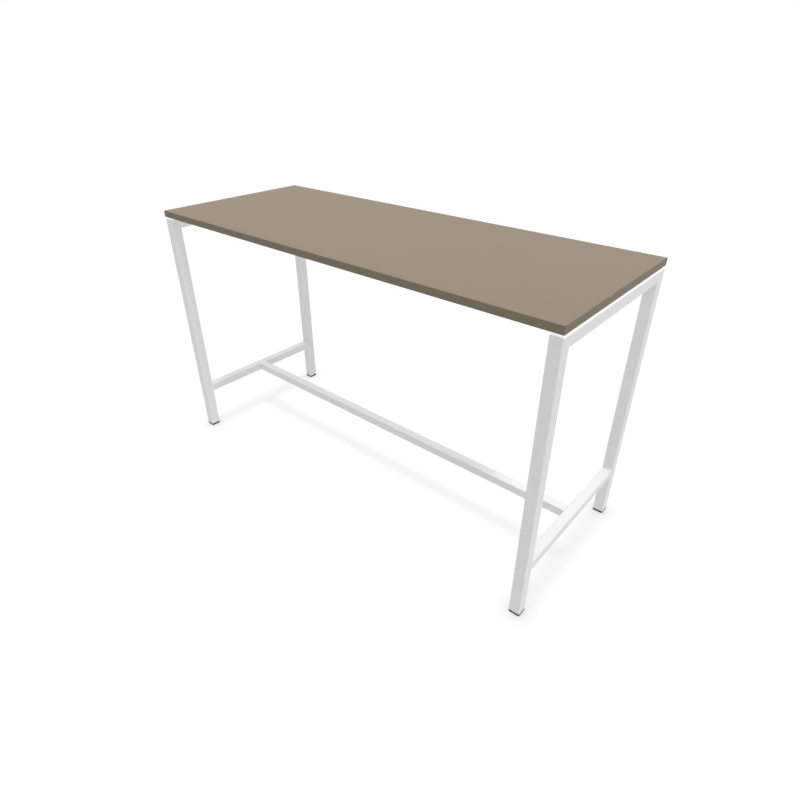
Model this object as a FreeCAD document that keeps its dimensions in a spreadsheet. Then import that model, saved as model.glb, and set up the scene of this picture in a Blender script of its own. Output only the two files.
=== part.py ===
import FreeCAD, Part
import math
import os

import Sketcher

# Standing meeting table: a banded board on two welded end frames of square tube, tied
# together by two beams under the board and by one stretcher between the foot rails.
# X runs along the table, Y across it and Z up. The origin is on the floor, under the
# middle of the top. Lengths are in millimetres.

SIZES = {
    # the whole table
    "table_length": 1800,
    "table_depth": 700,
    "table_height": 1050,
    # the board, its edge bands and the gap under it
    "board_thickness": 25,
    "band_thickness": 2,
    "band_radius": 1,
    "top_gap": 7,
    # end frames: square tube for legs and top rails, a smaller tube for the low rails
    "side_inset": 1.5,
    "leg_side": 40,
    "tube_wall": 2,
    "tube_radius": 3,
    "rail_width": 37,
    "rail_height": 34,
    "foot_rail_top": 220,
    "cut_spare": 5,
    # beams under the board, with the plates and bushes that join them to the top rails
    "beam_width": 20,
    "beam_spacing": 360,
    "plate_thickness": 4,
    "plate_width": 60,
    "plate_height": 34,
    "plate_hole_spacing": 40,
    "bush_diameter": 10,
    "bush_length": 12,
    # spigots inside the ends of the stretcher
    "spigot_length": 60,
    "spigot_wall": 4,
    "spigot_clearance": 0.2,
    "spigot_screw_inset": 15,
    "spigot_screw_pitch": 30,
    # machine screws, the spacers round them and the threaded inserts in the board
    "screw_diameter": 6,
    "screw_hole": 6.6,
    "head_diameter": 10.5,
    "head_height": 3.3,
    "head_round": 1.5,
    "socket_flats": 4,
    "socket_depth": 2,
    "stretcher_screw_spare": 3.8,
    "beam_bolt_grip": 12,
    "top_screw_grip": 13,
    "thread_gap": 0.05,
    "press_gap": 0.02,
    "spacer_diameter": 16,
    "insert_diameter": 12,
    "insert_length": 15,
    "insert_spare": 1,
    "rail_screw_spacing": 240,
    "beam_screw_spacing": 550,
    # feet: a plastic insert in the leg, and a levelling screw with a floor pad. Screwed right
    # in, the pad still keeps the insert off the floor by the foot gap.
    "foot_gap": 2,
    "flange_thickness": 8,
    "plug_height": 22,
    "plug_clearance": 0.1,
    "pad_diameter": 28,
    "pad_thickness": 5,
    "pad_round": 0.8,
    "pad_gap": 0.5,
    "turn_gap": 0.3,
    "socket_floor": 1.5,
    "collar_diameter": 11,
    "collar_thickness": 2,
    "hex_flats": 13,
    "hex_height": 4,
    "stem_diameter": 8,
    "stem_chamfer": 1,
    "stem_spare": 2,
    "nut_base": 20,
    "nut_height": 6.5,
    "levelling_travel": 10,
}

# Places that several pieces share, worked out from the sizes above.
FRAME_DEPTH = "(Sizes.table_depth - 2 * Sizes.side_inset)"
FRAME_TOP = "(Sizes.table_height - Sizes.board_thickness - Sizes.top_gap)"
BOARD_UNDERSIDE = "(Sizes.table_height - Sizes.board_thickness)"
LEG_X = "(Sizes.table_length / 2 - Sizes.leg_side / 2)"
LEG_Y = f"({FRAME_DEPTH} / 2 - Sizes.leg_side / 2)"
LEG_END = "(Sizes.foot_gap + Sizes.flange_thickness)"
LEG_LENGTH = f"({FRAME_TOP} - {LEG_END})"
LEG_BORE = "(Sizes.leg_side - 2 * Sizes.tube_wall)"
TOP_RAIL_Z = f"({FRAME_TOP} - Sizes.leg_side / 2)"
TOP_RAIL_UNDERSIDE = f"({FRAME_TOP} - Sizes.leg_side)"
TOP_RAIL_FACE_X = "(Sizes.table_length / 2 - Sizes.leg_side)"
FOOT_RAIL_Z = "(Sizes.foot_rail_top - Sizes.rail_height / 2)"
FOOT_RAIL_FACE_X = f"({LEG_X} - Sizes.rail_width / 2)"
PLATE_X = f"({TOP_RAIL_FACE_X} - Sizes.plate_thickness)"
THREAD_BORE = "(Sizes.screw_diameter + 2 * Sizes.thread_gap)"
STEM_TOP = "(Sizes.nut_base + Sizes.nut_height + Sizes.levelling_travel + Sizes.stem_spare)"

# Places and directions that differ by less than this are the same.
SAME = 1e-6

# The four corners, as the signs of X and Y.
CORNERS = {
    "front_left": (-1, -1),
    "front_right": (1, -1),
    "back_left": (-1, 1),
    "back_right": (1, 1),
}
ENDS = {"left": -1, "right": 1}
SIDES = {"front": -1, "back": 1}

doc = FreeCAD.newDocument("StandingMeetingTable")
sheet = doc.addObject("Spreadsheet::Sheet", "Sizes")
for row, (alias, size) in enumerate(SIZES.items(), start=1):
    sheet.set(f"A{row}", alias)
    sheet.set(f"B{row}", str(size))
    sheet.setAlias(f"B{row}", alias)
doc.recompute()
subparts = []


def value(expression):
    """The number that an expression in the sheet's names comes to."""
    return float(sheet.evalExpression(expression))


# Sketches


def sketch_on(body, plane, lift="0"):
    """An empty sketch on one of the body's origin planes, raised along its normal."""
    sketch = body.newObject("Sketcher::SketchObject", f"{body.Name}_sketch")
    flat = next(f for f in body.Origin.OriginFeatures if f.Role == plane)
    sketch.AttachmentSupport = [(flat, "")]
    sketch.MapMode = "FlatFace"
    sketch.setExpression("AttachmentOffset.Base.z", lift)
    return sketch


def rule(sketch, *terms):
    return sketch.addConstraint(Sketcher.Constraint(*terms))


def dimension(sketch, kind, points, expression):
    """A sketch dimension that follows the sheet."""
    number = rule(sketch, kind, *points, value(expression))
    sketch.setExpression(f"Constraints[{number}]", expression)


def place_point(sketch, shape, point, x, y):
    """Ties a point of a shape to its distances from the sketch's origin."""
    if x == "0":
        rule(sketch, "PointOnObject", shape, point, -2)
    else:
        dimension(sketch, "DistanceX", (-1, 1, shape, point), x)
    if y == "0":
        rule(sketch, "PointOnObject", shape, point, -1)
    else:
        dimension(sketch, "DistanceY", (-1, 1, shape, point), y)


def loop(sketch, points):
    """Closed straight outline; returns the number of its first line."""
    first = sketch.GeometryCount
    for start, end in zip(points, points[1:] + points[:1]):
        line = Part.LineSegment(FreeCAD.Vector(*start, 0), FreeCAD.Vector(*end, 0))
        sketch.addGeometry(line, False)
    count = len(points)
    for step in range(count):
        rule(sketch, "Coincident", first + step, 2, first + (step + 1) % count, 1)
    return first


def rectangle(sketch, width, height):
    """Rectangle centred on the sketch's origin."""
    x = value(width) / 2
    y = value(height) / 2
    first = loop(sketch, [(-x, -y), (x, -y), (x, y), (-x, y)])
    for side in (0, 2):
        rule(sketch, "Horizontal", first + side)
        rule(sketch, "Vertical", first + side + 1)
    rule(sketch, "Symmetric", first, 1, first + 1, 2, -1, 1)
    dimension(sketch, "DistanceX", (first, 1, first, 2), width)
    dimension(sketch, "DistanceY", (first + 1, 1, first + 1, 2), height)


def circle(sketch, diameter, x="0", y="0"):
    centre = FreeCAD.Vector(value(x), value(y), 0)
    ring = Part.Circle(centre, FreeCAD.Vector(0, 0, 1), value(diameter) / 2)
    number = sketch.addGeometry(ring, False)
    dimension(sketch, "Diameter", (number,), diameter)
    place_point(sketch, number, 3, x, y)


def hexagon(sketch, flats):
    """Regular hexagon round the sketch's origin, with a corner on its X axis."""
    across_corners = f"{flats} * 2 / sqrt(3)"
    reach = value(across_corners) / 2
    turns = [math.radians(60 * corner) for corner in range(6)]
    first = loop(sketch, [(reach * math.cos(a), reach * math.sin(a)) for a in turns])
    rim = Part.Circle(FreeCAD.Vector(0, 0, 0), FreeCAD.Vector(0, 0, 1), reach)
    guide = sketch.addGeometry(rim, True)
    rule(sketch, "Coincident", guide, 3, -1, 1)
    for side in range(6):
        rule(sketch, "PointOnObject", first + side, 1, guide)
    for side in range(1, 6):
        rule(sketch, "Equal", first, first + side)
    rule(sketch, "PointOnObject", first, 1, -1)
    dimension(sketch, "Diameter", (guide,), across_corners)


def mitre(sketch, x, y, toward_x, toward_y):
    """Right triangle that cuts a leg-wide tube at 45 degrees. Its square corner lies at
    x, y, outside the tube, and its equal sides run from there toward the tube."""
    side = "Sizes.leg_side + 2 * Sizes.cut_spare"
    reach = value(side)
    cx = value(x)
    cy = value(y)
    corners = [(cx, cy), (cx + toward_x * reach, cy), (cx, cy + toward_y * reach)]
    first = loop(sketch, corners)
    rule(sketch, "Horizontal", first)
    rule(sketch, "Vertical", first + 2)
    rule(sketch, "Equal", first, first + 2)
    place_point(sketch, first, 1, x, y)
    dimension(sketch, "Distance", (first,), side)


# Features


def new_body(label, x="0", y="0", z="0", turn=0):
    """A body at its place, turned about the vertical."""
    body = doc.addObject("PartDesign::Body", label)
    body.Label = label
    upright = FreeCAD.Rotation(FreeCAD.Vector(0, 0, 1), turn)
    body.Placement = FreeCAD.Placement(FreeCAD.Vector(0, 0, 0), upright)
    body.setExpression("Placement.Base.x", x)
    body.setExpression("Placement.Base.y", y)
    body.setExpression("Placement.Base.z", z)
    return body


def subpart(label, x="0", y="0", z="0", turn=0):
    """A body that is a sub-part of the table by itself."""
    body = new_body(label, x, y, z, turn)
    subparts.append(body)
    return body


def pad(body, sketch, length, both_ways=False):
    feature = body.newObject("PartDesign::Pad", f"{body.Name}_pad")
    feature.Profile = sketch
    feature.setExpression("Length", length)
    if both_ways:
        feature.SideType = "Symmetric"
    doc.recompute()


def pocket(body, sketch, depth=None, toward_normal=False):
    """Cuts the sketch's outline out, to a depth on one side or through on both."""
    solid_before = body.Shape.Volume
    feature = body.newObject("PartDesign::Pocket", f"{body.Name}_pocket")
    feature.Profile = sketch
    if depth is None:
        feature.Type = "ThroughAll"
        feature.SideType = "Symmetric"
    else:
        feature.setExpression("Length", depth)
        feature.Reversed = toward_normal
    doc.recompute()
    if body.Shape.Volume >= solid_before:
        raise RuntimeError(f"a pocket of {body.Label} cuts nothing")


def dress(body, kind, edge_test, size_name, size):
    """Fillet or chamfer on the edges of the body's last feature that pass the test."""
    base = body.Tip
    edges = [f"Edge{n}" for n, edge in enumerate(base.Shape.Edges, 1) if edge_test(edge)]
    feature = body.newObject(f"PartDesign::{kind}", f"{body.Name}_{kind.lower()}")
    feature.Base = (base, edges)
    feature.setExpression(size_name, size)
    doc.recompute()


def is_straight(edge):
    return edge.Curve.TypeId == "Part::GeomLine"


def runs_along(axis):
    """Test for straight edges that run along an axis."""

    def test(edge):
        return is_straight(edge) and edge.Curve.Direction.cross(axis).Length < SAME

    return test


AXIS_X = FreeCAD.Vector(1, 0, 0)
AXIS_Y = FreeCAD.Vector(0, 1, 0)
AXIS_Z = FreeCAD.Vector(0, 0, 1)


def group_of(label, piece, places):
    """Copies of one piece that share a node, each a solid of its own. A place is x, y, z
    and, where the piece is turned, the rotation."""
    copies = []
    for x, y, z, *turned in places:
        copy = doc.addObject("App::Link", f"{label}_copy")
        copy.LinkedObject = piece
        rotation = turned[0] if turned else FreeCAD.Rotation()
        copy.Placement = FreeCAD.Placement(FreeCAD.Vector(0, 0, 0), rotation)
        copy.setExpression("Placement.Base.x", x)
        copy.setExpression("Placement.Base.y", y)
        copy.setExpression("Placement.Base.z", z)
        copies.append(copy)
    group = doc.addObject("Part::Compound", label)
    group.Label = label
    group.Links = copies
    doc.recompute()
    if len(group.Shape.Solids) != len(places):
        raise RuntimeError(f"{label} lacks a copy")
    subparts.append(group)


def tube(body, plane, axis, width, height, length, both_ways=True):
    """Hollow rectangular tube with rounded long edges, its section in the plane."""
    outline = sketch_on(body, plane)
    rectangle(outline, width, height)
    pad(body, outline, length, both_ways)
    dress(body, "Fillet", runs_along(axis), "Radius", "Sizes.tube_radius")
    hollow = sketch_on(body, plane)
    rectangle(hollow, f"{width} - 2 * Sizes.tube_wall", f"{height} - 2 * Sizes.tube_wall")
    pocket(body, hollow)


# Where the screws that hold the top stand: three along each top rail, three along each beam.
RAIL_SCREWS_Y = ["-Sizes.rail_screw_spacing", "0", "Sizes.rail_screw_spacing"]
BEAM_SCREWS_X = ["-Sizes.beam_screw_spacing", "0", "Sizes.beam_screw_spacing"]
TOP_SCREWS = [(f"{end} * {LEG_X}", y) for end in ENDS.values() for y in RAIL_SCREWS_Y]
TOP_SCREWS += [(x, f"{side} * Sizes.beam_spacing / 2") for side in SIDES.values() for x in BEAM_SCREWS_X]


# The board: chipboard with a decor film on both faces, drilled from below for the inserts.
board = subpart("tabletop_board", z=BOARD_UNDERSIDE)
outline = sketch_on(board, "XY_Plane")
rectangle(
    outline,
    "Sizes.table_length - 2 * Sizes.band_thickness",
    "Sizes.table_depth - 2 * Sizes.band_thickness",
)
pad(board, outline, "Sizes.board_thickness")
holes = sketch_on(board, "XY_Plane")
for x, y in TOP_SCREWS:
    circle(holes, "Sizes.insert_diameter + 2 * Sizes.press_gap", x, y)
pocket(board, holes, "Sizes.insert_length + Sizes.insert_spare", toward_normal=True)

# Long edge bands cover the whole length, so the corners of the top are theirs. Every edge
# is rounded, apart from those of the glued face.
for side_name, side in SIDES.items():
    band = subpart(
        f"edge_band_{side_name}",
        y=f"{side} * (Sizes.table_depth / 2 - Sizes.band_thickness / 2)",
        z=BOARD_UNDERSIDE,
    )
    outline = sketch_on(band, "XY_Plane")
    rectangle(outline, "Sizes.table_length", "Sizes.band_thickness")
    pad(band, outline, "Sizes.board_thickness")
    glued_y = -side * value("Sizes.band_thickness") / 2

    def is_free(edge):
        return any(abs(corner.Point.y - glued_y) > SAME for corner in edge.Vertexes)

    dress(band, "Fillet", is_free, "Radius", "Sizes.band_radius")

# Short edge bands stand between the long ones.
for end_name, end in ENDS.items():
    band = subpart(
        f"edge_band_{end_name}",
        x=f"{end} * (Sizes.table_length / 2 - Sizes.band_thickness / 2)",
        z=BOARD_UNDERSIDE,
    )
    outline = sketch_on(band, "XY_Plane")
    rectangle(outline, "Sizes.band_thickness", "Sizes.table_depth - 2 * Sizes.band_thickness")
    pad(band, outline, "Sizes.board_thickness")

    def is_outer(edge):
        return runs_along(AXIS_Y)(edge) and edge.CenterOfMass.x * end > 0

    dress(band, "Fillet", is_outer, "Radius", "Sizes.band_radius")

# Legs: square tube, mitred at the top. The mitre falls toward the middle of the end frame,
# so the back legs are front legs turned round.
for corner_name, (end, side) in CORNERS.items():
    leg = subpart(
        f"leg_{corner_name}",
        x=f"{end} * {LEG_X}",
        y=f"{side} * {LEG_Y}",
        z=LEG_END,
        turn=0 if side < 0 else 180,
    )
    tube(leg, "XY_Plane", AXIS_Z, "Sizes.leg_side", "Sizes.leg_side", LEG_LENGTH, both_ways=False)
    cut = sketch_on(leg, "YZ_Plane")
    mitre(
        cut,
        "Sizes.leg_side / 2 + Sizes.cut_spare",
        f"{LEG_LENGTH} + Sizes.cut_spare",
        toward_x=-1,
        toward_y=-1,
    )
    pocket(leg, cut)

# Top rails: the same tube, mitred at both ends. Screws for the board pass through them, and
# bushes for the beams sit in the face that looks at the middle of the table.
BUSH_ROW = [
    f"{side} * Sizes.beam_spacing / 2 + {step} * Sizes.plate_hole_spacing / 2"
    for side in SIDES.values()
    for step in (-1, 1)
]
for end_name, end in ENDS.items():
    rail = subpart(
        f"top_rail_{end_name}",
        x=f"{end} * {LEG_X}",
        z=TOP_RAIL_Z,
        turn=0 if end < 0 else 180,
    )
    tube(rail, "XZ_Plane", AXIS_Y, "Sizes.leg_side", "Sizes.leg_side", FRAME_DEPTH)
    cut = sketch_on(rail, "YZ_Plane")
    for side in SIDES.values():
        mitre(
            cut,
            f"{side} * ({FRAME_DEPTH} / 2 + Sizes.cut_spare)",
            "-(Sizes.leg_side / 2 + Sizes.cut_spare)",
            toward_x=-side,
            toward_y=1,
        )
    pocket(rail, cut)
    screw_holes = sketch_on(rail, "XY_Plane")
    for y in RAIL_SCREWS_Y:
        circle(screw_holes, "Sizes.screw_hole", "0", y)
    pocket(rail, screw_holes)
    bush_holes = sketch_on(rail, "YZ_Plane")
    for y in BUSH_ROW:
        circle(bush_holes, "Sizes.bush_diameter + 2 * Sizes.press_gap", y, "0")
    pocket(rail, bush_holes, "Sizes.leg_side", toward_normal=True)

# Foot rails: smaller tube between the legs of an end frame.
for end_name, end in ENDS.items():
    rail = subpart(f"foot_rail_{end_name}", x=f"{end} * {LEG_X}", z=FOOT_RAIL_Z)
    between_legs = f"{FRAME_DEPTH} - 2 * Sizes.leg_side"
    tube(rail, "XZ_Plane", AXIS_Y, "Sizes.rail_width", "Sizes.rail_height", between_legs)

# Screws: a domed head with a hexagon socket below the seat, the shank above it.


def make_screw(name, shank):
    body = new_body(name)
    head = sketch_on(body, "XY_Plane", "-Sizes.head_height")
    circle(head, "Sizes.head_diameter")
    pad(body, head, "Sizes.head_height")
    low = -value("Sizes.head_height")

    def is_rim(edge):
        return abs(edge.CenterOfMass.z - low) < SAME

    dress(body, "Fillet", is_rim, "Radius", "Sizes.head_round")
    stalk = sketch_on(body, "XY_Plane")
    circle(stalk, "Sizes.screw_diameter")
    pad(body, stalk, shank)
    socket = sketch_on(body, "XY_Plane", "-Sizes.head_height")
    hexagon(socket, "Sizes.socket_flats")
    pocket(body, socket, "Sizes.socket_depth", toward_normal=True)
    return body


# Stretcher: the low-rail tube between the two foot rails, with holes in its underside over
# the threads of the spigots.
SPIGOT_SCREWS = ["Sizes.spigot_screw_inset", "Sizes.spigot_screw_inset + Sizes.spigot_screw_pitch"]
stretcher = subpart("stretcher", z=FOOT_RAIL_Z)
tube(stretcher, "YZ_Plane", AXIS_X, "Sizes.rail_width", "Sizes.rail_height", f"2 * {FOOT_RAIL_FACE_X}")
holes = sketch_on(stretcher, "XY_Plane")
for end in ENDS.values():
    for inset in SPIGOT_SCREWS:
        circle(holes, "Sizes.screw_hole", f"{end} * ({FOOT_RAIL_FACE_X} - ({inset}))")
pocket(stretcher, holes, "Sizes.rail_height")

# Spigots: short thick tubes welded to the foot rails, a loose fit inside the stretcher, with
# threaded holes in their undersides.
SPIGOT_WIDTH = "Sizes.rail_width - 2 * Sizes.tube_wall - 2 * Sizes.spigot_clearance"
SPIGOT_HEIGHT = "Sizes.rail_height - 2 * Sizes.tube_wall - 2 * Sizes.spigot_clearance"
for end_name, end in ENDS.items():
    spigot = subpart(
        f"stretcher_spigot_{end_name}",
        x=f"{end} * {FOOT_RAIL_FACE_X}",
        z=FOOT_RAIL_Z,
        turn=0 if end < 0 else 180,
    )
    outline = sketch_on(spigot, "YZ_Plane")
    rectangle(outline, SPIGOT_WIDTH, SPIGOT_HEIGHT)
    pad(spigot, outline, "Sizes.spigot_length")
    hollow = sketch_on(spigot, "YZ_Plane")
    rectangle(hollow, f"{SPIGOT_WIDTH} - 2 * Sizes.spigot_wall", f"{SPIGOT_HEIGHT} - 2 * Sizes.spigot_wall")
    pocket(spigot, hollow)
    holes = sketch_on(spigot, "XY_Plane")
    for inset in SPIGOT_SCREWS:
        circle(holes, THREAD_BORE, inset)
    pocket(spigot, holes, "Sizes.rail_height")

stretcher_screw = make_screw(
    "stretcher_screw",
    "Sizes.tube_wall + Sizes.spigot_clearance + Sizes.spigot_wall + Sizes.stretcher_screw_spare",
)
group_of(
    "stretcher_screws",
    stretcher_screw,
    [
        (f"{end} * ({FOOT_RAIL_FACE_X} - ({inset}))", "0", "Sizes.foot_rail_top - Sizes.rail_height")
        for end in ENDS.values()
        for inset in SPIGOT_SCREWS
    ],
)

# Beams: flat tube standing on edge between the end plates, as high as the top rails.
for side_name, side in SIDES.items():
    beam = subpart(f"beam_{side_name}", y=f"{side} * Sizes.beam_spacing / 2", z=TOP_RAIL_Z)
    tube(beam, "YZ_Plane", AXIS_X, "Sizes.beam_width", "Sizes.leg_side", f"2 * {PLATE_X}")
    holes = sketch_on(beam, "XY_Plane")
    for x in BEAM_SCREWS_X:
        circle(holes, "Sizes.screw_hole", x)
    pocket(beam, holes)

# End plates, welded across the ends of the beams.
plate = new_body("end_plate")
outline = sketch_on(plate, "YZ_Plane")
rectangle(outline, "Sizes.plate_width", "Sizes.plate_height")
for step in (-1, 1):
    circle(outline, "Sizes.screw_hole", f"{step} * Sizes.plate_hole_spacing / 2")
pad(plate, outline, "Sizes.plate_thickness")
group_of(
    "beam_end_plates",
    plate,
    [
        (x, f"{side} * Sizes.beam_spacing / 2", TOP_RAIL_Z)
        for x in (f"-{TOP_RAIL_FACE_X}", PLATE_X)
        for side in SIDES.values()
    ],
)

# Threaded bushes, welded into the top rails flush with their faces, and the bolts in them.
OUTWARD = {end: FreeCAD.Rotation(AXIS_Y, end * 90) for end in ENDS.values()}
bush = new_body("threaded_bush")
outline = sketch_on(bush, "XY_Plane")
circle(outline, "Sizes.bush_diameter")
circle(outline, THREAD_BORE)
pad(bush, outline, "Sizes.bush_length")
group_of(
    "top_rail_bushes",
    bush,
    [
        (f"{end} * {TOP_RAIL_FACE_X}", y, TOP_RAIL_Z, OUTWARD[end])
        for end in ENDS.values()
        for y in BUSH_ROW
    ],
)
beam_bolt = make_screw("beam_bolt", "Sizes.plate_thickness + Sizes.beam_bolt_grip")
group_of(
    "beam_bolts",
    beam_bolt,
    [
        (f"{end} * {PLATE_X}", y, TOP_RAIL_Z, OUTWARD[end])
        for end in ENDS.values()
        for y in BUSH_ROW
    ],
)

# The top's fixings: spacers that hold it clear of the frame, threaded inserts in the board,
# and long screws from below.
spacer = new_body("top_spacer")
outline = sketch_on(spacer, "XY_Plane")
circle(outline, "Sizes.spacer_diameter")
circle(outline, "Sizes.screw_hole")
pad(spacer, outline, "Sizes.top_gap")
group_of("top_spacers", spacer, [(x, y, FRAME_TOP) for x, y in TOP_SCREWS])

insert = new_body("board_insert")
outline = sketch_on(insert, "XY_Plane")
circle(outline, "Sizes.insert_diameter")
circle(outline, THREAD_BORE)
pad(insert, outline, "Sizes.insert_length")
group_of("board_inserts", insert, [(x, y, BOARD_UNDERSIDE) for x, y in TOP_SCREWS])

top_screw = make_screw("top_screw", "Sizes.leg_side + Sizes.top_gap + Sizes.top_screw_grip")
group_of("top_screws", top_screw, [(x, y, TOP_RAIL_UNDERSIDE) for x, y in TOP_SCREWS])

# Foot inserts: a square flange as wide as the leg, a plug inside the tube, a stepped recess
# for the floor pad and the screw's hexagon, and a closed pocket round the nut.
NUT_BASE = "Sizes.nut_base"
for corner_name, (end, side) in CORNERS.items():
    foot = subpart(f"foot_insert_{corner_name}", x=f"{end} * {LEG_X}", y=f"{side} * {LEG_Y}")
    flange = sketch_on(foot, "XY_Plane", "Sizes.foot_gap")
    rectangle(flange, "Sizes.leg_side", "Sizes.leg_side")
    pad(foot, flange, "Sizes.flange_thickness")
    dress(foot, "Fillet", runs_along(AXIS_Z), "Radius", "Sizes.tube_radius")
    plug = sketch_on(foot, "XY_Plane", LEG_END)
    plug_side = f"{LEG_BORE} - 2 * Sizes.plug_clearance"
    rectangle(plug, plug_side, plug_side)
    pad(foot, plug, "Sizes.plug_height")
    for diameter, depth in (
        ("Sizes.pad_diameter + 2 * Sizes.pad_gap", "Sizes.pad_thickness"),
        (
            "Sizes.hex_flats * 2 / sqrt(3) + 2 * Sizes.pad_gap",
            "Sizes.pad_thickness + Sizes.hex_height + 2 * Sizes.turn_gap",
        ),
        (
            "Sizes.stem_diameter + 2 * Sizes.turn_gap",
            f"{LEG_END} + Sizes.plug_height",
        ),
    ):
        recess = sketch_on(foot, "XY_Plane")
        circle(recess, diameter)
        pocket(foot, recess, depth, toward_normal=True)
    nut_pocket = sketch_on(foot, "XY_Plane", NUT_BASE)
    hexagon(nut_pocket, "Sizes.hex_flats")
    pocket(foot, nut_pocket, "Sizes.nut_height", toward_normal=True)

nut = new_body("foot_nut")
outline = sketch_on(nut, "XY_Plane")
hexagon(outline, "Sizes.hex_flats")
circle(outline, "Sizes.stem_diameter + 2 * Sizes.thread_gap")
pad(nut, outline, "Sizes.nut_height")
group_of(
    "foot_nuts",
    nut,
    [(f"{end} * {LEG_X}", f"{side} * {LEG_Y}", NUT_BASE) for end, side in CORNERS.values()],
)

# Levelling screws: a collar that the floor pad clips over, a hexagon for the spanner and the
# threaded stem that runs in the nut.
for corner_name, (end, side) in CORNERS.items():
    screw = subpart(f"levelling_screw_{corner_name}", x=f"{end} * {LEG_X}", y=f"{side} * {LEG_Y}")
    collar = sketch_on(screw, "XY_Plane", "Sizes.socket_floor")
    circle(collar, "Sizes.collar_diameter")
    pad(screw, collar, "Sizes.collar_thickness")
    stem = sketch_on(screw, "XY_Plane", "Sizes.socket_floor")
    circle(stem, "Sizes.stem_diameter")
    pad(screw, stem, f"{STEM_TOP} - Sizes.socket_floor")
    stem_top = value(STEM_TOP)

    def is_stem_end(edge):
        return abs(edge.CenterOfMass.z - stem_top) < SAME

    dress(screw, "Chamfer", is_stem_end, "Size", "Sizes.stem_chamfer")
    grip = sketch_on(screw, "XY_Plane", "Sizes.pad_thickness + Sizes.turn_gap")
    hexagon(grip, "Sizes.hex_flats")
    pad(screw, grip, "Sizes.hex_height")

# Floor pads: discs with an undercut socket in which the screw's collar turns.
for corner_name, (end, side) in CORNERS.items():
    floor_pad = subpart(f"levelling_pad_{corner_name}", x=f"{end} * {LEG_X}", y=f"{side} * {LEG_Y}")
    disc = sketch_on(floor_pad, "XY_Plane")
    circle(disc, "Sizes.pad_diameter")
    pad(floor_pad, disc, "Sizes.pad_thickness")

    def is_floor_edge(edge):
        return abs(edge.CenterOfMass.z) < SAME and not is_straight(edge)

    dress(floor_pad, "Fillet", is_floor_edge, "Radius", "Sizes.pad_round")
    socket = sketch_on(floor_pad, "XY_Plane", "Sizes.socket_floor")
    circle(socket, "Sizes.collar_diameter + 2 * Sizes.turn_gap")
    pocket(floor_pad, socket, "Sizes.collar_thickness + Sizes.turn_gap", toward_normal=True)
    mouth = sketch_on(floor_pad, "XY_Plane", "Sizes.socket_floor")
    circle(mouth, "Sizes.stem_diameter + 2 * Sizes.turn_gap")
    pocket(floor_pad, mouth, "Sizes.pad_thickness", toward_normal=True)

# Nothing is written unless every feature and every sub-part is sound.
doc.recompute()
for item in doc.Objects:
    if {"Invalid", "Error"} & set(item.State):
        raise RuntimeError(f"{item.Label} failed: {item.State}")
for item in subparts:
    if item.Shape.isNull() or not item.Shape.isValid() or not item.Shape.Solids:
        raise RuntimeError(f"{item.Label} has no valid solid")

os.makedirs("parts", exist_ok=True)
for item in subparts:
    item.Shape.exportStep(os.path.join("parts", f"{item.Label}.step"))
    volume = item.Shape.Volume / 1000
    print(f"{item.Label}: {len(item.Shape.Solids)} solids, {volume:.2f} cm3")
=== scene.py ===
"""A standing meeting table: a taupe board on two white end frames of square tube, a low stretcher
between them, two beams under the board and a levelling screw in each foot. Metres, +Z up."""

import math

import bpy
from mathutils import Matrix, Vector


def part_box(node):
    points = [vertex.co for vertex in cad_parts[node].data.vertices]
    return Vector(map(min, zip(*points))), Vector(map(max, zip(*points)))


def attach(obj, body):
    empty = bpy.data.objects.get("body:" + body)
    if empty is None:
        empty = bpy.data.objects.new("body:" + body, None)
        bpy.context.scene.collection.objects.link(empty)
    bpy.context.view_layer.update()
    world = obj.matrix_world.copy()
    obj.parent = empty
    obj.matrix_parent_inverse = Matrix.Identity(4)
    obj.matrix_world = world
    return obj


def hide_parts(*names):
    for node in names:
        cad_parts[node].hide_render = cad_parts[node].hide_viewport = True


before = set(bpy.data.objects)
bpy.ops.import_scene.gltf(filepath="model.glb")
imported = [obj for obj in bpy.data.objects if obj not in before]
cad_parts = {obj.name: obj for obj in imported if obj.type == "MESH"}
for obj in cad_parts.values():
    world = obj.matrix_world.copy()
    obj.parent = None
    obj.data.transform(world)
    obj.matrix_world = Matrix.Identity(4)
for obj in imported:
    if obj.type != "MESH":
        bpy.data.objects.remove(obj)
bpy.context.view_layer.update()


# ---- Camera -------------------------------------------------------------------------------------
# A standing person's view from beyond the front right corner, above the board, with a wide lens.
# The picture is square. Angles are in degrees, the lens and the sensor in millimetres.
CAMERA_PLACE = (1.4098, -1.5482, 1.6016)
CAMERA_TILT, CAMERA_ROLL, CAMERA_TURN = 58.694, 0.045, 40.580
CAMERA_LENS, CAMERA_SENSOR = 25.612, 36

bpy.ops.object.camera_add(
    location=CAMERA_PLACE,
    rotation=[math.radians(angle) for angle in (CAMERA_TILT, CAMERA_ROLL, CAMERA_TURN)],
)
camera = bpy.context.object
camera.name = "camera"
camera.data.sensor_width = CAMERA_SENSOR
camera.data.lens = CAMERA_LENS
bpy.context.scene.camera = camera


# ---- End frames ---------------------------------------------------------------------------------
# Each end frame is welded from square steel tube: two legs and a top rail of 40 mm, mitred and
# ground flush at the corners, and a smaller foot rail. It is powder coated after welding.
ENDS = ("left", "right")
CORNERS = {     # how each one mirrors the front right corner, along X and along Y
    "front_left": (-1, 1),
    "front_right": (1, 1),
    "back_left": (-1, -1),
    "back_right": (1, -1),
}
MILLIMETRES_IN_METRE = 1000     # the widths and depths of patterns are in millimetres


def linear(colour):
    """The linear colour of an sRGB hex value, with full alpha."""
    channels = [int(colour[start:start + 2], 16) / 255 for start in (0, 2, 4)]
    return (*[c / 12.92 if c <= 0.04045 else ((c + 0.055) / 1.055) ** 2.4 for c in channels], 1)


def scale_for(millimetres):
    """The texture scale at which one feature of a pattern is that long."""
    return MILLIMETRES_IN_METRE / millimetres


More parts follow.
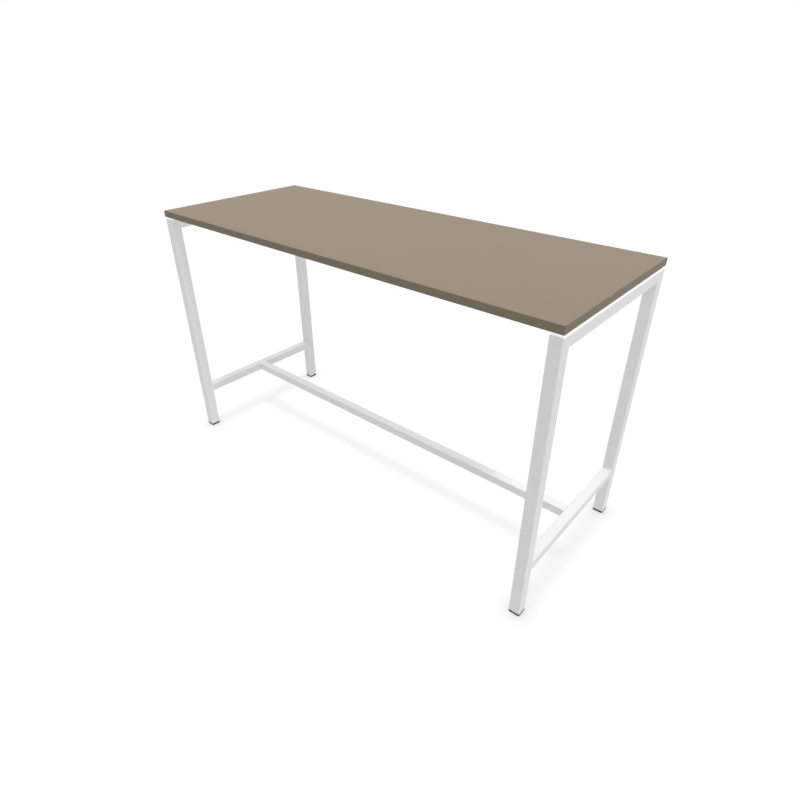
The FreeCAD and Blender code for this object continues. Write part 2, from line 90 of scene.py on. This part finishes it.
def add_node(tree, kind, settings=None, inputs=None):
    """Adds a node with its settings. Each input gets a value, or a link from another's socket."""
    added = tree.nodes.new(kind)
    for name, setting in (settings or {}).items():
        setattr(added, name, setting)
    for name, value in (inputs or {}).items():
        if isinstance(value, bpy.types.NodeSocket):
            tree.links.new(value, added.inputs[name])
        else:
            added.inputs[name].default_value = value
    return added


def new_material(name):
    """A material with only an output: the material, its node tree and the output's surface."""
    material = bpy.data.materials.new(name)
    material.use_nodes = True
    tree = material.node_tree
    tree.nodes.clear()
    return material, tree, tree.nodes.new("ShaderNodeOutputMaterial").inputs["Surface"]


def add_skin(tree, surface, colours, tint, roughness, gloss, depth, relief, settings):
    """The skin that a material ends in. The tint pattern leads from one colour to the other, the
    gloss pattern from one roughness to the other, and the relief pattern raises it by that depth.
    The settings are the shader's own, the same all over."""
    first_colour, second_colour, mixed_colour = 6, 7, 2     # places of the Mix node's sockets
    colour = add_node(tree, "ShaderNodeMix", {"data_type": "RGBA"}, {
        "Factor": tint, first_colour: colours[0], second_colour: colours[1]})
    rough = add_node(tree, "ShaderNodeMapRange", inputs={
        "Value": gloss, "To Min": roughness[0], "To Max": roughness[1]})
    bump = add_node(tree, "ShaderNodeBump", inputs={
        "Strength": 1, "Distance": depth / MILLIMETRES_IN_METRE, "Height": relief})
    shader = add_node(tree, "ShaderNodeBsdfPrincipled", inputs={
        "Base Color": colour.outputs[mixed_colour],
        "Roughness": rough.outputs["Result"],
        "Normal": bump.outputs["Normal"],
        **settings,
    })
    tree.links.new(shader.outputs["BSDF"], surface)


def give_finish(material, *node_names):
    """Gives these CAD nodes their finish."""
    for name in node_names:
        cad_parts[name].material_slots[0].material = material


def make_white_powder_coat():
    """Polyester powder sprayed on steel and baked: semi-matt, smooth to the hand, with the fine
    orange peel that softens its highlights and a slow drift in the thickness of the film."""
    thick_film, thin_film = linear("EBEBEB"), linear("E8E8E8")
    drift_width = 110
    peel_width, peel_depth = 2.2, 0.02
    material, tree, surface = new_material("powder_coat_white_semi_matt")
    place = add_node(tree, "ShaderNodeTexCoord").outputs["Object"]
    drift = add_node(tree, "ShaderNodeTexNoise", inputs={
        "Vector": place, "Scale": scale_for(drift_width), "Detail": 2})
    peel = add_node(tree, "ShaderNodeTexNoise", inputs={
        "Vector": place, "Scale": scale_for(peel_width), "Detail": 1})
    add_skin(
        tree, surface,
        colours=(thick_film, thin_film), tint=drift.outputs["Fac"],
        roughness=(0.40, 0.50), gloss=peel.outputs["Fac"],
        depth=peel_depth, relief=peel.outputs["Fac"],
        settings={"IOR": 1.5},
    )
    return material


powder_coat = make_white_powder_coat()
give_finish(
    powder_coat,
    *[f"leg_{corner}" for corner in CORNERS],
    *[f"{rail}_{end}" for rail in ("top_rail", "foot_rail") for end in ENDS],
)


# ---- Weld beads ---------------------------------------------------------------------------------
# Steel weld metal, laid by hand in the corner between two tubes and covered by the same coat. One
# runs round each end of a foot rail, and a short one closes each mitred corner from below.
BEAD_RADIUS, BEAD_ROUNDNESS = 0.0011, 2
RIPPLE_LENGTH, RIPPLE_SWELLS = 0.0007, (0.94, 1.0, 1.08)
TUBE_CORNER, TUBE_CORNER_STEPS = 0.003, 5
SMOOTH_ANGLE = 35
OTHER_CORNERS = [corner for corner in CORNERS if corner != "front_right"]


def start_modelling():
    """Nothing is selected, so that an operator acts only on what is made next."""
    if bpy.context.object and bpy.context.object.mode != "OBJECT":
        bpy.ops.object.mode_set(mode="OBJECT")
    bpy.ops.object.select_all(action="DESELECT")


def middle_of(node_name):
    """The middle of a CAD node's box."""
    low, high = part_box(node_name)
    return (low + high) / 2


def set_in_place(piece, name, body, material):
    """Applies a finished piece's place to its mesh, and gives it its body, finish and slot."""
    start_modelling()
    piece.select_set(True)
    bpy.context.view_layer.objects.active = piece
    bpy.ops.object.transform_apply()
    bpy.ops.object.shade_smooth_by_angle(angle=math.radians(SMOOTH_ANGLE))
    piece.name = name
    piece.data.name = name
    piece.data.materials.clear()
    piece.data.materials.append(material)
    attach(piece, body)


def copy_of(piece, shift=(0, 0, 0), flip=(1, 1, 1)):
    """A copy of a finished piece, on no body yet, with its own mesh, mirrored and then moved."""
    start_modelling()
    made = piece.copy()
    made.data = piece.data.copy()
    made.parent = None
    bpy.context.scene.collection.objects.link(made)
    made.select_set(True)
    bpy.context.view_layer.objects.active = made
    made.scale = flip
    made.location = shift
    bpy.ops.object.transform_apply()
    if math.prod(flip) < 0:
        bpy.ops.object.mode_set(mode="EDIT")
        bpy.ops.mesh.select_all(action="SELECT")
        bpy.ops.mesh.normals_make_consistent(inside=False)
        bpy.ops.object.mode_set(mode="OBJECT")
    return made


def lay_bead(centre, size, turn, corner=0):
    """A bead round a rectangle of that size, or along a line where one side is 0. Its straight
    sides are cut into ripples, and its corners aren't."""
    one_point = RIPPLE_LENGTH / 10
    shortest_side = RIPPLE_LENGTH * 4
    start_modelling()
    bpy.ops.mesh.primitive_plane_add(size=1, location=centre, rotation=turn)
    bead = bpy.context.object
    bead.scale = (*size, 1)
    bpy.ops.object.transform_apply(location=False, rotation=False)
    bpy.ops.object.mode_set(mode="EDIT")
    bpy.ops.mesh.select_all(action="SELECT")
    bpy.ops.mesh.remove_doubles(threshold=one_point)
    if corner:
        bpy.ops.mesh.bevel(offset=corner, segments=TUBE_CORNER_STEPS, affect="VERTICES")
    bpy.ops.mesh.select_all(action="SELECT")
    bpy.ops.mesh.delete(type="ONLY_FACE")
    bpy.ops.object.mode_set(mode="OBJECT")
    for edge in bead.data.edges:
        start, end = [bead.data.vertices[number].co for number in edge.vertices]
        edge.select = (start - end).length > shortest_side
    ripples = int((max(size) - 2 * corner) / RIPPLE_LENGTH)
    bpy.ops.object.mode_set(mode="EDIT")
    bpy.ops.mesh.select_mode(type="EDGE")
    bpy.ops.mesh.subdivide(number_cuts=ripples)
    bpy.ops.object.mode_set(mode="OBJECT")
    bpy.ops.object.convert(target="CURVE")
    line = bead.data
    line.bevel_depth = BEAD_RADIUS
    line.bevel_resolution = BEAD_ROUNDNESS
    line.use_fill_caps = True
    for number, point in enumerate(line.splines[0].points):
        point.radius = RIPPLE_SWELLS[number % len(RIPPLE_SWELLS)]
    bpy.ops.object.convert(target="MESH")
    return bead


rail_low, rail_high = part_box("foot_rail_right")
rail_middle = middle_of("foot_rail_right")
rail_size = rail_high - rail_low
foot_rail_bead = lay_bead(
    centre=(rail_middle.x, rail_low.y, rail_middle.z),
    size=(rail_size.x, rail_size.z),
    turn=(math.pi / 2, 0, 0),
    corner=TUBE_CORNER,
)
set_in_place(foot_rail_bead, "foot_rail_weld_front_right", "table", powder_coat)

leg_low, leg_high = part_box("leg_front_right")
top_rail_low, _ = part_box("top_rail_right")
mitre_bead = lay_bead(
    centre=(middle_of("leg_front_right").x, leg_high.y, top_rail_low.z),
    size=(leg_high.x - leg_low.x - 2 * TUBE_CORNER, 0),
    turn=(0, 0, 0),
)
set_in_place(mitre_bead, "mitre_weld_front_right", "table", powder_coat)

for corner in OTHER_CORNERS:
    for bead in (foot_rail_bead, mitre_bead):
        copied = copy_of(bead, flip=(*CORNERS[corner], 1))
        name = bead.name.replace("front_right", corner)
        set_in_place(copied, name, "table", powder_coat)


# ---- Feet ---------------------------------------------------------------------------------------
# A black nylon insert is driven into each leg and holds a steel nut. A zinc-plated M8 levelling
# screw turns in the nut, and its collar clips into a round floor pad of the same nylon.
COLLAR_RADIUS, COLLAR_THICKNESS, COLLAR_SIDES = 0.0055, 0.002, 48
HEX_FLATS, HEX_HEIGHT, HEX_OVER_PAD = 0.013, 0.004, 0.0003
STEM_RADIUS, THREAD_DEPTH, THREAD_PITCH, THREAD_STEPS = 0.004, 0.00068, 0.00125, 24
RIM_BEVEL, RIM_BEVEL_STEPS = 0.0003, 2


def make_black_nylon():
    """Glass-filled polyamide, moulded in a spark-eroded tool: near black, evenly dull, with a fine
    grain that is drawn twice as coarse so that it shows."""
    deep, worn = linear("1C1C1C"), linear("262625")
    cloud_width = 9
    real_grain_width, coarser, grain_depth = 0.4, 2, 0.03
    material, tree, surface = new_material("polyamide_black_moulded")
    place = add_node(tree, "ShaderNodeTexCoord").outputs["Object"]
    cloud = add_node(tree, "ShaderNodeTexNoise", inputs={
        "Vector": place, "Scale": scale_for(cloud_width), "Detail": 3})
    grain = add_node(tree, "ShaderNodeTexNoise", inputs={
        "Vector": place, "Scale": scale_for(real_grain_width * coarser), "Detail": 2})
    add_skin(
        tree, surface,
        colours=(deep, worn), tint=cloud.outputs["Fac"],
        roughness=(0.55, 0.75), gloss=grain.outputs["Fac"],
        depth=grain_depth, relief=grain.outputs["Fac"],
        settings={"IOR": 1.53, "Specular IOR Level": 0.25},
    )
    return material


def make_bright_zinc():
    """Electroplated zinc with a clear passivate: a bright grey metal, a little cloudy, over the
    fine marks that forming left in the steel."""
    bright, cloudy = linear("D3D6D8"), linear("B9BDC0")
    cloud_width = 4
    mark_width, mark_depth = 0.5, 0.008
    material, tree, surface = new_material("steel_bright_zinc_plated")
    place = add_node(tree, "ShaderNodeTexCoord").outputs["Object"]
    cloud = add_node(tree, "ShaderNodeTexNoise", inputs={
        "Vector": place, "Scale": scale_for(cloud_width), "Detail": 3})
    marks = add_node(tree, "ShaderNodeTexNoise", inputs={
        "Vector": place, "Scale": scale_for(mark_width), "Detail": 1})
    add_skin(
        tree, surface,
        colours=(bright, cloudy), tint=cloud.outputs["Fac"],
        roughness=(0.22, 0.42), gloss=cloud.outputs["Fac"],
        depth=mark_depth, relief=marks.outputs["Fac"],
        settings={"Metallic": 1},
    )
    return material


def short_bar(centre, radius, height, sides):
    """A short round or six-sided bar, upright, with its rims broken by a small bevel."""
    level_face = 0.5        # a face whose normal rises by more than this is an end of the bar
    start_modelling()
    bpy.ops.mesh.primitive_cylinder_add(
        vertices=sides, radius=radius, depth=height, location=centre)
    bar = bpy.context.object
    bpy.ops.object.mode_set(mode="EDIT")
    bpy.ops.mesh.select_mode(type="FACE")
    bpy.ops.object.mode_set(mode="OBJECT")
    for polygon in bar.data.polygons:
        polygon.select = abs(polygon.normal.z) > level_face
    bpy.ops.object.mode_set(mode="EDIT")
    bpy.ops.mesh.bevel(offset=RIM_BEVEL, segments=RIM_BEVEL_STEPS)
    bpy.ops.object.mode_set(mode="OBJECT")
    return bar


def threaded_stem(axis, low, high):
    """A stem with a real screw thread. A line one pitch high, whose middle is pushed in to a V, is
    wound round the axis from a turn below to a turn above, and cut off at both ends."""
    one_point = THREAD_PITCH / 100
    half_pitch = THREAD_PITCH / 2
    cuts_in_line = 3
    close_to_middle = THREAD_PITCH / (cuts_in_line + 1) / 2
    turns = math.ceil((high - low) / THREAD_PITCH) + 2
    start_modelling()
    bpy.ops.mesh.primitive_plane_add(
        size=THREAD_PITCH,
        location=(STEM_RADIUS, 0, half_pitch),
        rotation=(math.pi / 2, 0, 0),
    )
    stem = bpy.context.object
    stem.scale = (0, 1, 1)
    bpy.ops.object.transform_apply()
    bpy.ops.object.mode_set(mode="EDIT")
    bpy.ops.mesh.select_all(action="SELECT")
    bpy.ops.mesh.remove_doubles(threshold=one_point)
    bpy.ops.mesh.subdivide(number_cuts=cuts_in_line)
    bpy.ops.mesh.select_mode(type="VERT")
    bpy.ops.object.mode_set(mode="OBJECT")
    for vertex in stem.data.vertices:
        vertex.select = abs(vertex.co.z - half_pitch) < close_to_middle
    bpy.ops.object.mode_set(mode="EDIT")
    bpy.ops.transform.translate(value=(-THREAD_DEPTH, 0, 0))
    bpy.ops.object.mode_set(mode="OBJECT")
    helix = stem.modifiers.new("helix", "SCREW")
    helix.axis = "Z"
    helix.screw_offset = THREAD_PITCH
    helix.iterations = turns
    helix.steps = helix.render_steps = THREAD_STEPS
    helix.use_merge_vertices = True
    bpy.ops.object.modifier_apply(modifier=helix.name)
    stem.location = (*axis, low - THREAD_PITCH)
    bpy.ops.object.transform_apply()
    bpy.ops.object.mode_set(mode="EDIT")
    for height, clear_above in ((low, False), (high, True)):
        bpy.ops.mesh.select_all(action="SELECT")
        bpy.ops.mesh.bisect(
            plane_co=(*axis, height), plane_no=(0, 0, 1), use_fill=True,
            clear_outer=clear_above, clear_inner=not clear_above)
    bpy.ops.mesh.select_all(action="SELECT")
    bpy.ops.mesh.remove_doubles(threshold=one_point)
    bpy.ops.mesh.normals_make_consistent(inside=False)
    bpy.ops.object.mode_set(mode="OBJECT")
    return stem


black_nylon = make_black_nylon()
bright_zinc = make_bright_zinc()
give_finish(
    black_nylon,
    *[f"foot_insert_{corner}" for corner in CORNERS],
    *[f"levelling_pad_{corner}" for corner in CORNERS],
)
give_finish(bright_zinc, "foot_nuts")

screw_low, screw_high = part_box("levelling_screw_front_right")
screw_middle = middle_of("levelling_screw_front_right")
screw_axis = (screw_middle.x, screw_middle.y)
_, pad_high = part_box("levelling_pad_front_right")
collar_middle = screw_low.z + COLLAR_THICKNESS / 2
hex_middle = pad_high.z + HEX_OVER_PAD + HEX_HEIGHT / 2
collar = short_bar((*screw_axis, collar_middle), COLLAR_RADIUS, COLLAR_THICKNESS, COLLAR_SIDES)
spanner_hex = short_bar((*screw_axis, hex_middle), HEX_FLATS / math.sqrt(3), HEX_HEIGHT, sides=6)
stem = threaded_stem(screw_axis, collar_middle, screw_high.z)
start_modelling()
for part in (collar, spanner_hex, stem):
    part.select_set(True)
bpy.context.view_layer.objects.active = stem
bpy.ops.object.join()
set_in_place(stem, "threaded_screw_front_right", "screw_front_right", bright_zinc)
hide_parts("levelling_screw_front_right")

for corner in OTHER_CORNERS:
    copied = copy_of(stem, shift=middle_of(f"levelling_screw_{corner}") - screw_middle)
    set_in_place(copied, f"threaded_screw_{corner}", f"screw_{corner}", bright_zinc)
    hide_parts(f"levelling_screw_{corner}")


# ---- Stretcher ----------------------------------------------------------------------------------
# A tube of the foot rails' section slides over a welded steel spigot at each end, and two
# button-head screws from below hold it there. It is coated like the end frames.
give_finish(powder_coat, "stretcher", *[f"stretcher_spigot_{end}" for end in ENDS])
give_finish(bright_zinc, "stretcher_screws")


# ---- Beams --------------------------------------------------------------------------------------
# Two 40 x 20 mm steel tubes stiffen the board. Each is welded to an end plate, and two
# button-head bolts hold the plate to threaded bushes that are pressed into the top rail.
give_finish(powder_coat, "beam_front", "beam_back", "beam_end_plates")
give_finish(bright_zinc, "beam_bolts", "top_rail_bushes")

plate_low, plate_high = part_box("beam_end_plates")
plate_middle = middle_of("beam_end_plates")
for beam in ("front", "back"):
    beam_low, beam_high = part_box(f"beam_{beam}")
    for end, x in zip(ENDS, (beam_low.x, beam_high.x)):
        for face, y in (("outer", beam_low.y), ("inner", beam_high.y)):
            bead = lay_bead(
                centre=(x, y, plate_middle.z),
                size=(plate_high.z - plate_low.z - 2 * BEAD_RADIUS, 0),
                turn=(0, math.pi / 2, 0),
            )
            set_in_place(
                bead, f"end_plate_weld_{beam}_{end}_{face}", "table", powder_coat)


# ---- Spacers ------------------------------------------------------------------------------------
# Round white nylon spacers hold the board off the frame, so that a narrow shadow gap runs round
# under it. A screw goes through each.
def make_white_nylon():
    """Unfilled polyamide, moulded: milky white that clouds towards cream, with a soft gloss."""
    milky, cream = linear("ECECEA"), linear("E5E4DF")
    cloud_width = 6
    skin_width, skin_depth = 1.2, 0.01
    material, tree, surface = new_material("polyamide_white_moulded")
    place = add_node(tree, "ShaderNodeTexCoord").outputs["Object"]
    cloud = add_node(tree, "ShaderNodeTexNoise", inputs={
        "Vector": place, "Scale": scale_for(cloud_width), "Detail": 2})
    skin = add_node(tree, "ShaderNodeTexNoise", inputs={
        "Vector": place, "Scale": scale_for(skin_width), "Detail": 1})
    add_skin(
        tree, surface,
        colours=(milky, cream), tint=cloud.outputs["Fac"],
        roughness=(0.34, 0.46), gloss=skin.outputs["Fac"],
        depth=skin_depth, relief=skin.outputs["Fac"],
        settings={"IOR": 1.53},
    )
    return material


give_finish(make_white_nylon(), "top_spacers")


# ---- Tabletop board -----------------------------------------------------------------------------
# A 25 mm chipboard faced on both sides with decor paper in melamine resin, pressed against a
# pearl-textured plate. Steel inserts are driven into its underside.
def make_melamine():
    """Melamine-faced chipboard in plain taupe: a hard matt skin whose pearl embossing, one grain in
    0.9 mm, breaks up reflections, over a faint mottle in the printed paper."""
    taupe, warm_taupe = linear("928779"), linear("8E8374")
    cloud_width, cloud_share = 160, 0.4
    mottle_width, mottle_share = 7, 0.6
    pearl_width, pearl_depth = 0.9, 0.02
    material, tree, surface = new_material("melamine_taupe_pearl")
    place = add_node(tree, "ShaderNodeTexCoord").outputs["Object"]
    cloud = add_node(tree, "ShaderNodeTexNoise", inputs={
        "Vector": place, "Scale": scale_for(cloud_width), "Detail": 2})
    mottle = add_node(tree, "ShaderNodeTexNoise", inputs={
        "Vector": place, "Scale": scale_for(mottle_width), "Detail": 4, "Roughness": 0.6})
    pearl = add_node(tree, "ShaderNodeTexNoise", inputs={
        "Vector": place, "Scale": scale_for(pearl_width), "Detail": 2})
    mottle_part = add_node(tree, "ShaderNodeMath", {"operation": "MULTIPLY"}, {
        0: mottle.outputs["Fac"], 1: mottle_share})
    print_tint = add_node(tree, "ShaderNodeMath", {"operation": "MULTIPLY_ADD"}, {
        0: cloud.outputs["Fac"], 1: cloud_share, 2: mottle_part.outputs["Value"]})
    add_skin(
        tree, surface,
        colours=(taupe, warm_taupe), tint=print_tint.outputs["Value"],
        roughness=(0.64, 0.74), gloss=mottle.outputs["Fac"],
        depth=pearl_depth, relief=pearl.outputs["Fac"],
        settings={"IOR": 1.5, "Specular IOR Level": 0.12},
    )
    return material


give_finish(make_melamine(), "tabletop_board")
give_finish(bright_zinc, "board_inserts")


# ---- Edge bands ---------------------------------------------------------------------------------
# ABS bands, 2 mm thick, are glued round the board in its own taupe, flush trimmed, and their long
# edges are rounded to a 1 mm radius and scraped. Their colour here is drawn darker than the
# board's, as painted shade on the board's sides.
EDGE_BANDS = [f"edge_band_{side}" for side in ("front", "back", "left", "right")]


def make_edge_band():
    """ABS strip, extruded and lightly embossed: the board's taupe, drawn a shade deeper as painted
    shade on the board's sides, smoother than the board's face, with faint lines along it."""
    # both tones are darker than the board's as painted shade for its sides; the lines between them
    # are the band's own
    taupe, deep_taupe = linear("817866"), linear("7D7462")
    line_width, line_length, line_depth = 1.4, 60, 0.01
    material, tree, surface = new_material("abs_edge_band_taupe")
    place = add_node(tree, "ShaderNodeTexCoord").outputs["Object"]
    stretched = add_node(tree, "ShaderNodeMapping", inputs={
        "Vector": place,
        "Scale": (scale_for(line_length), scale_for(line_length), scale_for(line_width))})
    lines = add_node(tree, "ShaderNodeTexNoise", inputs={
        "Vector": stretched.outputs["Vector"], "Scale": 1, "Detail": 2})
    add_skin(
        tree, surface,
        colours=(taupe, deep_taupe), tint=lines.outputs["Fac"],
        roughness=(0.46, 0.56), gloss=lines.outputs["Fac"],
        depth=line_depth, relief=lines.outputs["Fac"],
        settings={"IOR": 1.52, "Specular IOR Level": 0.08},
    )
    return material


give_finish(make_edge_band(), *EDGE_BANDS)


# ---- Top screws ---------------------------------------------------------------------------------
# M6 button-head screws go up through the rails, the beams and the spacers into the board's
# inserts. Only their heads show, from below.
give_finish(bright_zinc, "top_screws")


# ---- Floor --------------------------------------------------------------------------------------
# A plain pale floor. It is seen as white, carries the soft shadows that its own lamp casts from the
# feet and the low rails, has painted shade a little darker close to what stands on it, and throws
# light back onto the table as a pale grey floor does.
FLOOR_SIZE = 60


def add_seen(tree):
    """A socket that is 1 for what is seen, straight or mirrored or through glass, and else 0."""
    rays = add_node(tree, "ShaderNodeLightPath")
    straight_or_mirrored = add_node(tree, "ShaderNodeMath", {"operation": "MAXIMUM"}, {
        0: rays.outputs["Is Camera Ray"], 1: rays.outputs["Is Glossy Ray"]})
    seen = add_node(tree, "ShaderNodeMath", {"operation": "MAXIMUM"}, {
        0: straight_or_mirrored.outputs["Value"], 1: rays.outputs["Is Transmission Ray"]})
    return seen.outputs["Value"]


def make_floor():
    """White where it is seen, with painted shade that makes it a little darker close to what stands
    on it, pale grey for the light it throws back, and clear from below, so that the table's
    underside can be seen."""
    # the second glow, and its reach in metres, draw the painted contact shade near what stands on
    # it
    open_glow, painted_shade_glow, painted_shade_reach = 0.79, 0.20, 0.065
    paint_level = 0.20
    thrown_glow = 0.80
    material, tree, surface = new_material("floor_pale")
    # Painted contact shade: ambient occlusion dims the floor's own glow close to what stands on it.
    openness = add_node(tree, "ShaderNodeAmbientOcclusion", {"samples": 16}, {
        "Distance": painted_shade_reach})
    painted_shade_mask = add_node(tree, "ShaderNodeMath", {"operation": "SQRT"}, {
        0: openness.outputs["AO"]})
    level = add_node(tree, "ShaderNodeMapRange", inputs={
        "Value": painted_shade_mask.outputs["Value"], "To Min": painted_shade_glow, "To Max": open_glow})
    glow = add_node(tree, "ShaderNodeEmission", inputs={"Strength": level.outputs["Result"]})
    paint = add_node(tree, "ShaderNodeBsdfDiffuse", inputs={
        "Color": (paint_level, paint_level, paint_level, 1)})
    seen_floor = add_node(tree, "ShaderNodeAddShader", inputs={
        0: glow.outputs["Emission"], 1: paint.outputs["BSDF"]})
    thrown = add_node(tree, "ShaderNodeEmission", inputs={"Strength": thrown_glow})
    upper_face = add_node(tree, "ShaderNodeMixShader", inputs={
        0: add_seen(tree), 1: thrown.outputs["Emission"], 2: seen_floor.outputs["Shader"]})
    facing = add_node(tree, "ShaderNodeNewGeometry")
    clear = add_node(tree, "ShaderNodeBsdfTransparent")
    one_sided = add_node(tree, "ShaderNodeMixShader", inputs={
        0: facing.outputs["Backfacing"], 1: upper_face.outputs["Shader"], 2: clear.outputs["BSDF"]})
    tree.links.new(one_sided.outputs["Shader"], surface)
    return material


start_modelling()
bpy.ops.mesh.primitive_plane_add(size=FLOOR_SIZE, location=(0, 0, 0))
floor = bpy.context.object
floor.name = "floor"
floor.data.materials.append(make_floor())


# ---- Light --------------------------------------------------------------------------------------
# Plain soft studio light: an even white room, a large soft light overhead that goes past the board,
# a key from above and a little to the right, a weak side light, one that brightens the frames' tops
# in the gap under the board, and one for the floor alone.
ONLY, ALL_BUT = "INCLUDE", "EXCLUDE"


def linked(name, objects, state):
    """A collection for light linking that lets in, or leaves out, these objects."""
    collection = bpy.data.collections.new(name)
    for number, piece in enumerate(objects):
        collection.objects.link(piece)
        collection.collection_objects[number].light_linking.link_state = state
    return collection


def add_sun(name, towards, level, spread, lights, receivers, passes=()):
    """A soft sun that lights only the receivers, or all but them, and goes past some pieces. At
    level 1 a surface square to it shows its own colour. The spread is in degrees."""
    start_modelling()
    bpy.ops.object.light_add(type="SUN")
    lamp = bpy.context.object
    lamp.name = name
    x, y, z = towards
    lamp.rotation_euler = (0, math.atan2(math.hypot(x, y), z), math.atan2(y, x))
    lamp.data.energy = level * math.pi
    lamp.data.angle = math.radians(spread)
    lamp.light_linking.receiver_collection = linked(f"{name}_on", receivers, lights)
    if passes:
        lamp.light_linking.blocker_collection = linked(f"{name}_past", passes, ALL_BUT)


board_pieces = [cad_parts[name] for name in (
    "tabletop_board", *EDGE_BANDS, "beam_front", "beam_back", "beam_end_plates", "top_spacers",
    "board_inserts", "top_screws", "beam_bolts", "top_rail_bushes")]
top_of_frames = [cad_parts[name] for name in (
    *[f"top_rail_{end}" for end in ENDS], *[f"leg_{corner}" for corner in CORNERS])]

add_sun("overhead_light", towards=(0, 0, 1), level=0.65, spread=120,
        lights=ALL_BUT, receivers=[floor], passes=board_pieces)
add_sun("key_light", towards=(0.44, -0.08, 1), level=0.30, spread=12,
        lights=ALL_BUT, receivers=[floor])
add_sun("side_light", towards=(1, -0.7, 0.3), level=0.08, spread=60,
        lights=ALL_BUT, receivers=[floor], passes=board_pieces)
add_sun("gap_light", towards=(0, 0, 1), level=0.25, spread=2,
        lights=ONLY, receivers=top_of_frames, passes=board_pieces)
add_sun("floor_light", towards=(0, 0, 1), level=1, spread=23,
        lights=ONLY, receivers=[floor], passes=board_pieces)


def make_room():
    """White where it is seen, and a plain lower level for the light it gives."""
    seen_level, given_level = 1, 0.15
    room = bpy.data.worlds.new("studio_room")
    room.use_nodes = True
    tree = room.node_tree
    tree.nodes.clear()
    level = add_node(tree, "ShaderNodeMapRange", inputs={
        "Value": add_seen(tree), "To Min": given_level, "To Max": seen_level})
    light = add_node(tree, "ShaderNodeBackground", inputs={
        "Color": (1, 1, 1, 1), "Strength": level.outputs["Result"]})
    add_node(tree, "ShaderNodeOutputWorld", inputs={"Surface": light.outputs["Background"]})
    return room


bpy.context.scene.world = make_room()
bpy.context.scene.view_settings.view_transform = "Standard"
